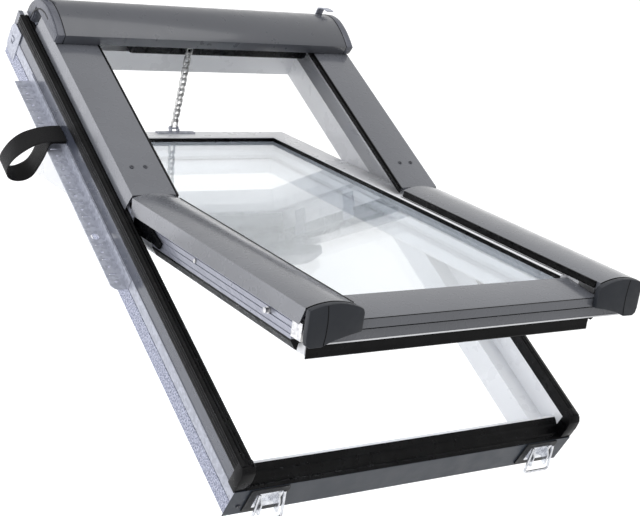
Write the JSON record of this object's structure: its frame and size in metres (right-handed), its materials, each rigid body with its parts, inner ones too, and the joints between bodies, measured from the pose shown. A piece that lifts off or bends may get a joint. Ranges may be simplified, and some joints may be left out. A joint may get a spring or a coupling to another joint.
{
  "type": "roof skylight",
  "caption": "Centre-pivot roof window in its own frame: double-glazed sash, grey claddings and hood, chain opener, fixing angles and a lifting strap.",
  "frame": {"origin": "centre of the plane of the frame's underside, below the pivot line at mid-length", "axes": "+X to the right across the window seen from outside with the hood at the top, +Y up the roof slope to the hood, +Z outwards from the roof"},
  "size_m": [0.8753, 1.2075, 0.6165],
  "materials": {
    "white_pvc": "semi-gloss",
    "foil_foam": "foil-faced",
    "galvanised": "satin",
    "channel_grey": "satin",
    "slate_sheet": "satin",
    "grey_sheet": "semi-gloss",
    "charcoal_plastic": "matte",
    "cheek_plastic": "satin",
    "black_rubber": "satin",
    "black_metal": "satin",
    "black_plastic": "matte",
    "brake_lining": "matte",
    "chain_steel": "satin",
    "bright_steel": "polished",
    "webbing": "woven",
    "pane_glass": "clear",
    "spacer_metal": "satin"
  },
  "bodies": {
    "frame": {"frame_stile_left": "white_pvc", "frame_stile_right": "white_pvc", "frame_top_rail": "white_pvc", "frame_bottom_rail": "white_pvc", "insulation_strips": "foil_foam", "side_rails": "galvanised", "side_channel_left": "channel_grey", "side_channel_right": "channel_grey", "front_cover": "slate_sheet", "frame_gasket_left": "black_rubber", "frame_gasket_right": "black_rubber", "frame_gasket_top": "black_rubber", "frame_gasket_bottom": "black_rubber", "gasket_corners": "black_rubber", "frame_cladding_left": "grey_sheet", "frame_cladding_right": "grey_sheet", "cladding_seals": "black_rubber", "cladding_brackets": "galvanised", "hood": "grey_sheet", "hood_cap_left": "cheek_plastic", "hood_cap_right": "cheek_plastic", "hood_brackets": "galvanised", "hinge_base_left": "galvanised", "hinge_base_right": "galvanised", "actuator_housing": "black_metal", "actuator_caps": "black_plastic", "actuator_brackets": "galvanised", "chain_outlet": "black_plastic", "drive_chain": "chain_steel", "mounting_angle_left": "galvanised", "mounting_angle_right": "galvanised", "corner_brackets": "galvanised", "lifting_strap": "webbing", "strikers": "bright_steel", "striker_blocks": "black_plastic", "frame_screws": "chain_steel"},
    "sash": {"bottom_cladding": "grey_sheet", "chain_bracket": "galvanised", "cladding_cap_left": "charcoal_plastic", "cladding_cap_right": "charcoal_plastic", "cladding_clips": "galvanised", "drip_flange": "grey_sheet", "friction_discs": "brake_lining", "glazing_bead": "white_pvc", "glazing_gasket": "black_rubber", "hinge_arm_left": "black_metal", "hinge_arm_right": "black_metal", "inner_pane": "pane_glass", "outer_pane": "pane_glass", "pane_spacer": "spacer_metal", "sash_bottom_rail": "white_pvc", "sash_cladding_left": "grey_sheet", "sash_cladding_right": "grey_sheet", "sash_fittings": "chain_steel", "sash_gasket": "black_rubber", "sash_side_left": "channel_grey", "sash_side_right": "channel_grey", "sash_stile_left": "white_pvc", "sash_stile_right": "white_pvc", "sash_top_rail": "white_pvc"}
  },
  "joints": [
    {"name": "sash_pivot", "type": "hinge", "parent": "frame", "child": "sash", "pos_m": [0, 0, 0.131], "axis": [1, 0, 0], "range_deg": [0, 27.56], "deforming": ["drive_chain"]}
  ]
}
